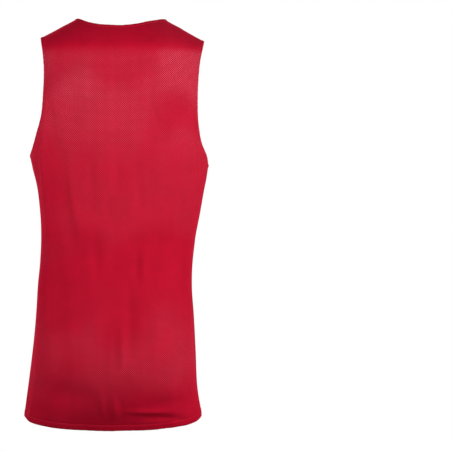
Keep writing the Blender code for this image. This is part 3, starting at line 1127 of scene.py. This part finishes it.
@dataclass(frozen=True)
class MeshKnit:
    """Polyester warp-knit mesh, dyed in the piece and brushed by wear to a soft dry face.

    It is matt, with a sheen of its own colour at glancing angles. Rows of small round holes, each
    half a pitch on from the last, take the hole colour: the white cloth behind in the red cloth, painted
    shade in the white. It is laid on most where the two layers touch, and on the upper back as a
    painted highlight. A darker ring round each hole is painted shadow.
    """

    name: str
    colour: str
    hole_and_painted_light_colour: str
    sheen_colour: str
    hole_pitch: float = 3.8 * MM
    row_pitch: float = 1.9 * MM
    hole_radius: float = 0.50 * MM
    hole_softness: float = 0.14 * MM
    rim_width: float = 0.20 * MM
    rim_painted_shadow: float = 0.30
    rib_pitch: float = 0.9 * MM
    rib_height: float = 0.12
    touch_and_sheen_scale: float = 7.0
    worn_scale: float = 26.0
    yarn_scale: float = 900.0
    roughness: float = 0.6
    shine: float = 0.0
    sheen: float = 0.6
    sheen_roughness: float = 0.35
    relief: float = 0.35 * MM
    bump: float = 0.4

    def material(self) -> bpy.types.Material:
        """Builds the cloth's material."""
        material = bpy.data.materials.new(self.name)
        material.use_nodes = True
        material.diffuse_color = linear(self.colour)
        tree = material.node_tree
        shader = tree.nodes["Principled BSDF"]
        flat = add_node(tree, "ShaderNodeUVMap", {"uv_map": UV_NAME})
        across, up = add_node(tree, "ShaderNodeSeparateXYZ", links={0: flat.outputs[0]}).outputs[:2]
        place = add_node(tree, "ShaderNodeTexCoord").outputs["Object"]

        def math_node(operation: str, *values: object) -> bpy.types.NodeSocket:
            """A Math node's result."""
            links = dict(enumerate(values))
            return add_node(tree, "ShaderNodeMath", {"operation": operation}, links).outputs[0]

        def noise_node(scale: float, detail: float) -> bpy.types.NodeSocket:
            """A noise on the cloth, fixed to the jersey."""
            links = {"Vector": place, "Scale": scale, "Detail": detail}
            return add_node(tree, "ShaderNodeTexNoise", links=links).outputs[0]

        from_hole = self.from_hole(math_node, across, up)
        soft = self.hole_softness

        def disc(edge: float) -> bpy.types.NodeSocket:
            """One within a distance of the nearest hole's middle, and nothing past it."""
            return remap(tree, from_hole, (edge - soft, edge + soft), (1.0, 0.0), smooth=True)

        hole = disc(self.hole_radius)
        # A darker ring round each hole is painted shadow of its edge, multiplied into the tone.
        rim = math_node("MULTIPLY", disc(self.hole_radius + self.rim_width), self.rim_painted_shadow)
        # Patches and heights lay the hole colour on where the layers touch, and on the upper back as a
        # painted highlight.
        patchy_touch_and_sheen = remap(tree, noise_node(self.touch_and_sheen_scale, 1.5), (0.40, 0.62), (0.5, 1.5), smooth=True)
        shows = math_node("MULTIPLY", self.hole_share_and_painted_sheen(tree, place), patchy_touch_and_sheen)
        hole_and_painted_sheen = math_node("MULTIPLY", hole, shows)
        worn = remap(tree, noise_node(self.worn_scale, 3.0), (0.3, 0.7), (0.94, 1.05))
        yarn = remap(tree, noise_node(self.yarn_scale, 2.0), (0.3, 0.7), (0.9, 1.1))
        tone = math_node("MULTIPLY", math_node("MULTIPLY", worn, yarn), math_node("SUBTRACT", 1.0, rim))
        mixed = add_node(
            tree,
            "ShaderNodeMix",
            {"data_type": "RGBA"},
            {0: hole_and_painted_sheen, "A": shaded(tree, self.colour, tone), "B": linear(self.hole_and_painted_light_colour)},
        )
        rib = math_node("SINE", math_node("MULTIPLY", across, 2 * math.pi / self.rib_pitch))
        height = math_node("SUBTRACT", math_node("MULTIPLY", rib, self.rib_height), hole)
        bump = add_node(
            tree,
            "ShaderNodeBump",
            links={"Strength": self.bump, "Distance": self.relief, "Height": height},
        )
        tree.links.new(mixed.outputs[2], shader.inputs["Base Color"])
        tree.links.new(bump.outputs[0], shader.inputs["Normal"])
        shader.inputs["Roughness"].default_value = self.roughness
        shader.inputs["Specular IOR Level"].default_value = self.shine
        shader.inputs["Sheen Weight"].default_value = self.sheen
        shader.inputs["Sheen Roughness"].default_value = self.sheen_roughness
        shader.inputs["Sheen Tint"].default_value = linear(self.sheen_colour)
        return material

    def from_hole(
        self, math_node: Callable, across: bpy.types.NodeSocket, up: bpy.types.NodeSocket
    ) -> bpy.types.NodeSocket:
        """Measures how far the middle of the nearest hole in a row is.

        Args:
            math_node: Adds a Math node and gives its result.
            across: Place across the cloth.
            up: Place up the cloth.

        Returns:
            The distance's socket.
        """
        row = math_node("DIVIDE", up, self.row_pitch)
        odd = math_node("FLOORED_MODULO", math_node("FLOOR", row), 2.0)
        column = math_node("DIVIDE", across, self.hole_pitch)
        shifted = math_node("ADD", column, math_node("MULTIPLY", odd, 0.5))
        squares = []
        for value, pitch in ((shifted, self.hole_pitch), (row, self.row_pitch)):
            off = math_node("SUBTRACT", math_node("FRACT", value), 0.5)
            off = math_node("MULTIPLY", off, pitch)
            squares.append(math_node("MULTIPLY", off, off))
        return math_node("SQRT", math_node("ADD", *squares))

    def hole_share_and_painted_sheen(
        self, tree: bpy.types.NodeTree, place: bpy.types.NodeSocket
    ) -> bpy.types.NodeSocket:
        """Reads the table of how much hole colour is laid on at a height, with its painted highlight on
        the upper back.

        Args:
            tree: The tree that gets the nodes.
            place: Place on the jersey.

        Returns:
            The share's socket.
        """
        height = add_node(tree, "ShaderNodeSeparateXYZ", links={0: place}).outputs[2]
        lowest, highest = HOLE_SHARE_AND_PAINTED_SHEEN[0].height, HOLE_SHARE_AND_PAINTED_SHEEN[-1].height
        share = remap(tree, height, (lowest, highest))
        node = add_node(tree, "ShaderNodeValToRGB", links={0: share})
        ramp = node.color_ramp
        ramp.interpolation = "EASE"
        for row in HOLE_SHARE_AND_PAINTED_SHEEN[1:-1]:
            ramp.elements.new((row.height - lowest) / (highest - lowest))
        for stop, row in zip(ramp.elements, HOLE_SHARE_AND_PAINTED_SHEEN):
            stop.color = (row.share, row.share, row.share, 1.0)
        return node.outputs[0]


@dataclass(frozen=True)
class SewingThread:
    """Spun polyester sewing thread, dyed to the cloth, round and slightly silky."""

    name: str
    colour: str
    roughness: float = 0.55

    def material(self) -> bpy.types.Material:
        """Builds the thread's material, with the twist of its plies as fine bands."""
        material = bpy.data.materials.new(self.name)
        material.use_nodes = True
        material.diffuse_color = linear(self.colour)
        tree = material.node_tree
        shader = tree.nodes["Principled BSDF"]
        place = add_node(tree, "ShaderNodeTexCoord")
        plies = add_node(
            tree,
            "ShaderNodeTexWave",
            {"wave_type": "BANDS", "bands_direction": "DIAGONAL"},
            {"Vector": place.outputs["Object"], "Scale": 500.0, "Distortion": 1.0},
        )
        tone = remap(tree, plies.outputs[1], target=(0.82, 1.12))
        tree.links.new(shaded(tree, self.colour, tone), shader.inputs["Base Color"])
        shader.inputs["Roughness"].default_value = self.roughness
        shader.inputs["Sheen Weight"].default_value = 0.1
        return material


@dataclass(frozen=True)
class PaperFloor:
    """Matt white studio paper, laid well below the jersey."""

    height: float = -1.5
    radius: float = 3.4
    sides: int = 96

    def build(self) -> None:
        """Lays the paper."""
        mesh = bpy.data.meshes.new("studio_floor")
        turns = [2 * math.pi * k / self.sides for k in range(self.sides)]
        ring = [(self.radius * math.cos(a), self.radius * math.sin(a), self.height) for a in turns]
        mesh.from_pydata(ring, [], [list(range(self.sides))])
        material = bpy.data.materials.new("white_studio_paper")
        material.use_nodes = True
        tree = material.node_tree
        shader = tree.nodes["Principled BSDF"]
        place = add_node(tree, "ShaderNodeTexCoord")
        fibre = add_node(
            tree,
            "ShaderNodeTexNoise",
            links={"Vector": place.outputs["Object"], "Scale": 60.0, "Detail": 4.0},
        )
        tone = remap(tree, fibre.outputs[0], target=(0.78, 0.84))
        tree.links.new(tone, shader.inputs["Base Color"])
        shader.inputs["Roughness"].default_value = 0.9
        mesh.materials.append(material)
        floor = bpy.data.objects.new("studio_floor", mesh)
        bpy.context.scene.collection.objects.link(floor)
        # The paper is bright to the eye, but throws no light up under the jersey.
        floor.visible_diffuse = False
        floor.visible_glossy = False


@dataclass(frozen=True)
class SoftLight:
    """A square soft box that faces a point of the jersey, and may show as a shine on its thread."""

    name: str
    place: tuple[float, float, float]
    target: tuple[float, float, float]
    size: float
    power: float
    shines: bool = False

    def build(self) -> None:
        """Adds the light."""
        data = bpy.data.lights.new(self.name, "AREA")
        data.shape = "SQUARE"
        data.size = self.size
        data.energy = self.power
        lamp = bpy.data.objects.new(self.name, data)
        lamp.location = self.place
        lamp.visible_camera = False
        lamp.visible_glossy = self.shines
        look = Vector(self.target) - lamp.location
        lamp.rotation_euler = look.to_track_quat("-Z", "Y").to_euler()
        bpy.context.scene.collection.objects.link(lamp)


@dataclass
class Studio:
    """The camera, the lights and the pale surroundings."""

    camera_place: tuple[float, float, float] = (0.009, 3.0, -0.354)
    camera_turn: float = math.radians(3.77)
    lens: float = 132.77
    sensor: float = 36.0
    surround: float = 0.06
    lights: tuple = (
        SoftLight("left_soft_box", (0.62, 0.90, -0.06), (0.0, 0.05, -0.25), 0.3, 5.8, True),
        SoftLight("right_soft_box", (-0.62, 0.90, -0.10), (0.0, 0.05, -0.25), 0.3, 4.5, True),
        SoftLight("left_side_box", (2.4, 0.9, -0.25), (0.0, 0.0, -0.36), 1.0, 15.0),
        SoftLight("right_side_box", (-2.4, 0.9, -0.35), (0.0, 0.0, -0.36), 1.0, 40.0),
        SoftLight("front_key_box", (1.4, -2.7, 0.2), (0.0, 0.0, -0.36), 1.6, 84.0),
        SoftLight("front_fill_box", (-1.7, -2.3, -0.4), (0.0, 0.0, -0.36), 1.6, 34.0),
        SoftLight("floor_box", (0.0, 0.0, -0.95), (0.0, 0.0, -1.5), 6.8, 150.0),
    )

    def build(self) -> None:
        """Sets the studio up."""
        PaperFloor().build()
        for light in self.lights:
            light.build()
        self.add_world()
        self.add_camera()

    def add_world(self) -> None:
        """Gives soft light from all round in front of a white background."""
        world = bpy.data.worlds.new("white_studio")
        bpy.context.scene.world = world
        world.use_nodes = True
        tree = world.node_tree
        tree.nodes.clear()
        rays = add_node(tree, "ShaderNodeLightPath")
        light = add_node(
            tree, "ShaderNodeBackground", links={"Color": (1, 1, 1, 1), "Strength": self.surround}
        )
        seen = add_node(tree, "ShaderNodeBackground", links={"Color": (1, 1, 1, 1), "Strength": 1.0})
        mix = add_node(
            tree,
            "ShaderNodeMixShader",
            links={0: rays.outputs["Is Camera Ray"], 1: light.outputs[0], 2: seen.outputs[0]},
        )
        add_node(tree, "ShaderNodeOutputWorld", links={"Surface": mix.outputs[0]})
        bpy.context.scene.view_settings.view_transform = "Standard"

    def add_camera(self) -> None:
        """Sets the camera straight behind the jersey, turned so that it stands left of the middle."""
        data = bpy.data.cameras.new("camera")
        data.lens = self.lens
        data.sensor_width = self.sensor
        data.clip_start, data.clip_end = 0.1, 50.0
        camera = bpy.data.objects.new("camera", data)
        camera.location = self.camera_place
        look = Vector((-math.sin(self.camera_turn), -math.cos(self.camera_turn), 0.0))
        camera.rotation_euler = look.to_track_quat("-Z", "Y").to_euler()
        bpy.context.scene.collection.objects.link(camera)
        bpy.context.scene.camera = camera


@dataclass
class Jersey:
    """The whole garment: four panels and the topstitching that joins and hems them."""

    cut: Cut = field(default_factory=Cut)
    folds: dict = field(
        default_factory=lambda: {Panel.BACK: BACK_FOLDS, Panel.FRONT: FRONT_FOLDS}
    )
    cloths: dict = field(
        default_factory=lambda: {
            # The red cloth's holes are pink, the white cloth behind; the white cloth's grey holes are
            # painted shade in them.
            Layer.OUTER: MeshKnit("red_polyester_mesh_knit", "#C00E2C", "#E4849A", "#F03C58"),
            Layer.INNER: MeshKnit("white_polyester_mesh_knit", "#E6E6EA", "#C2C2C8", "#E6E6EA"),
        }
    )
    threads: dict = field(
        default_factory=lambda: {
            Layer.OUTER: SewingThread("red_sewing_thread", "#C0122E"),
            Layer.INNER: SewingThread("white_sewing_thread", "#ECECEE"),
        }
    )
    cut_size: dict = field(
        default_factory=lambda: {Panel.BACK: (0.46, 0.76), Panel.FRONT: (0.46, 0.74)}
    )
    stitch_sink: float = 0.2 * MM

    def build(self) -> None:
        """Builds and places every piece."""
        forms = {panel: PanelForm(self.cut, panel, self.folds[panel]) for panel in Panel}
        cloths = {layer: finish.material() for layer, finish in self.cloths.items()}
        threads = {layer: finish.material() for layer, finish in self.threads.items()}
        for layer in Layer:
            for panel in Panel:
                self.build_panel(forms[panel], layer, cloths[layer], threads[layer])

    def build_panel(
        self,
        form: PanelForm,
        layer: Layer,
        cloth: bpy.types.Material,
        thread: bpy.types.Material,
    ) -> None:
        """Builds one panel of one layer with its stitching.

        Args:
            form: The panel's form.
            layer: The layer.
            cloth: The layer's cloth.
            thread: The layer's thread.
        """
        shell = PanelShell(form, layer)
        piece = shell.build(cloth)
        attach(piece, BODY)
        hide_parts(shell.name)
        sign = 1 if layer is Layer.OUTER else -1
        lift = 0.0 if layer is Layer.OUTER else 2 * form.cut.wall + form.cut.seam_gap
        lines = []
        for name in ("neck", "left_armhole", "right_armhole", "hem"):
            inset = form.hem_inset if name == "hem" else form.stitch_inset
            places, outs = form.line_inset(name, inset, -lift - sign * self.stitch_sink)
            lines.append((places, outs * sign))
        stitches = StitchRun(
            f"{shell.name}_topstitching", [line[0] for line in lines], [line[1] for line in lines]
        ).build(thread)
        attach(stitches, BODY)
        width, length = self.cut_size[form.panel]
        area = one_layer_area(form.grid.points)
        log.info("%s: %d faces, %.3f m2 of cloth", piece.name, len(piece.data.polygons), area)
        log.info("%s: %d faces", stitches.name, len(stitches.data.polygons))


def one_layer_area(points: np.ndarray) -> float:
    """Area of a grid of points, in square metres."""
    first = np.cross(points[1:, :-1] - points[:-1, :-1], points[:-1, 1:] - points[:-1, :-1])
    second = np.cross(points[1:, 1:] - points[1:, :-1], points[1:, 1:] - points[:-1, 1:])
    both = np.linalg.norm(first, axis=2) + np.linalg.norm(second, axis=2)
    return float(both.sum() / 2)


def main() -> None:
    """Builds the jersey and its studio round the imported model."""
    logging.basicConfig(level=logging.INFO, format="%(name)s %(message)s")
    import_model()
    Jersey().build()
    Studio().build()


if __name__ == "__main__":
    main()
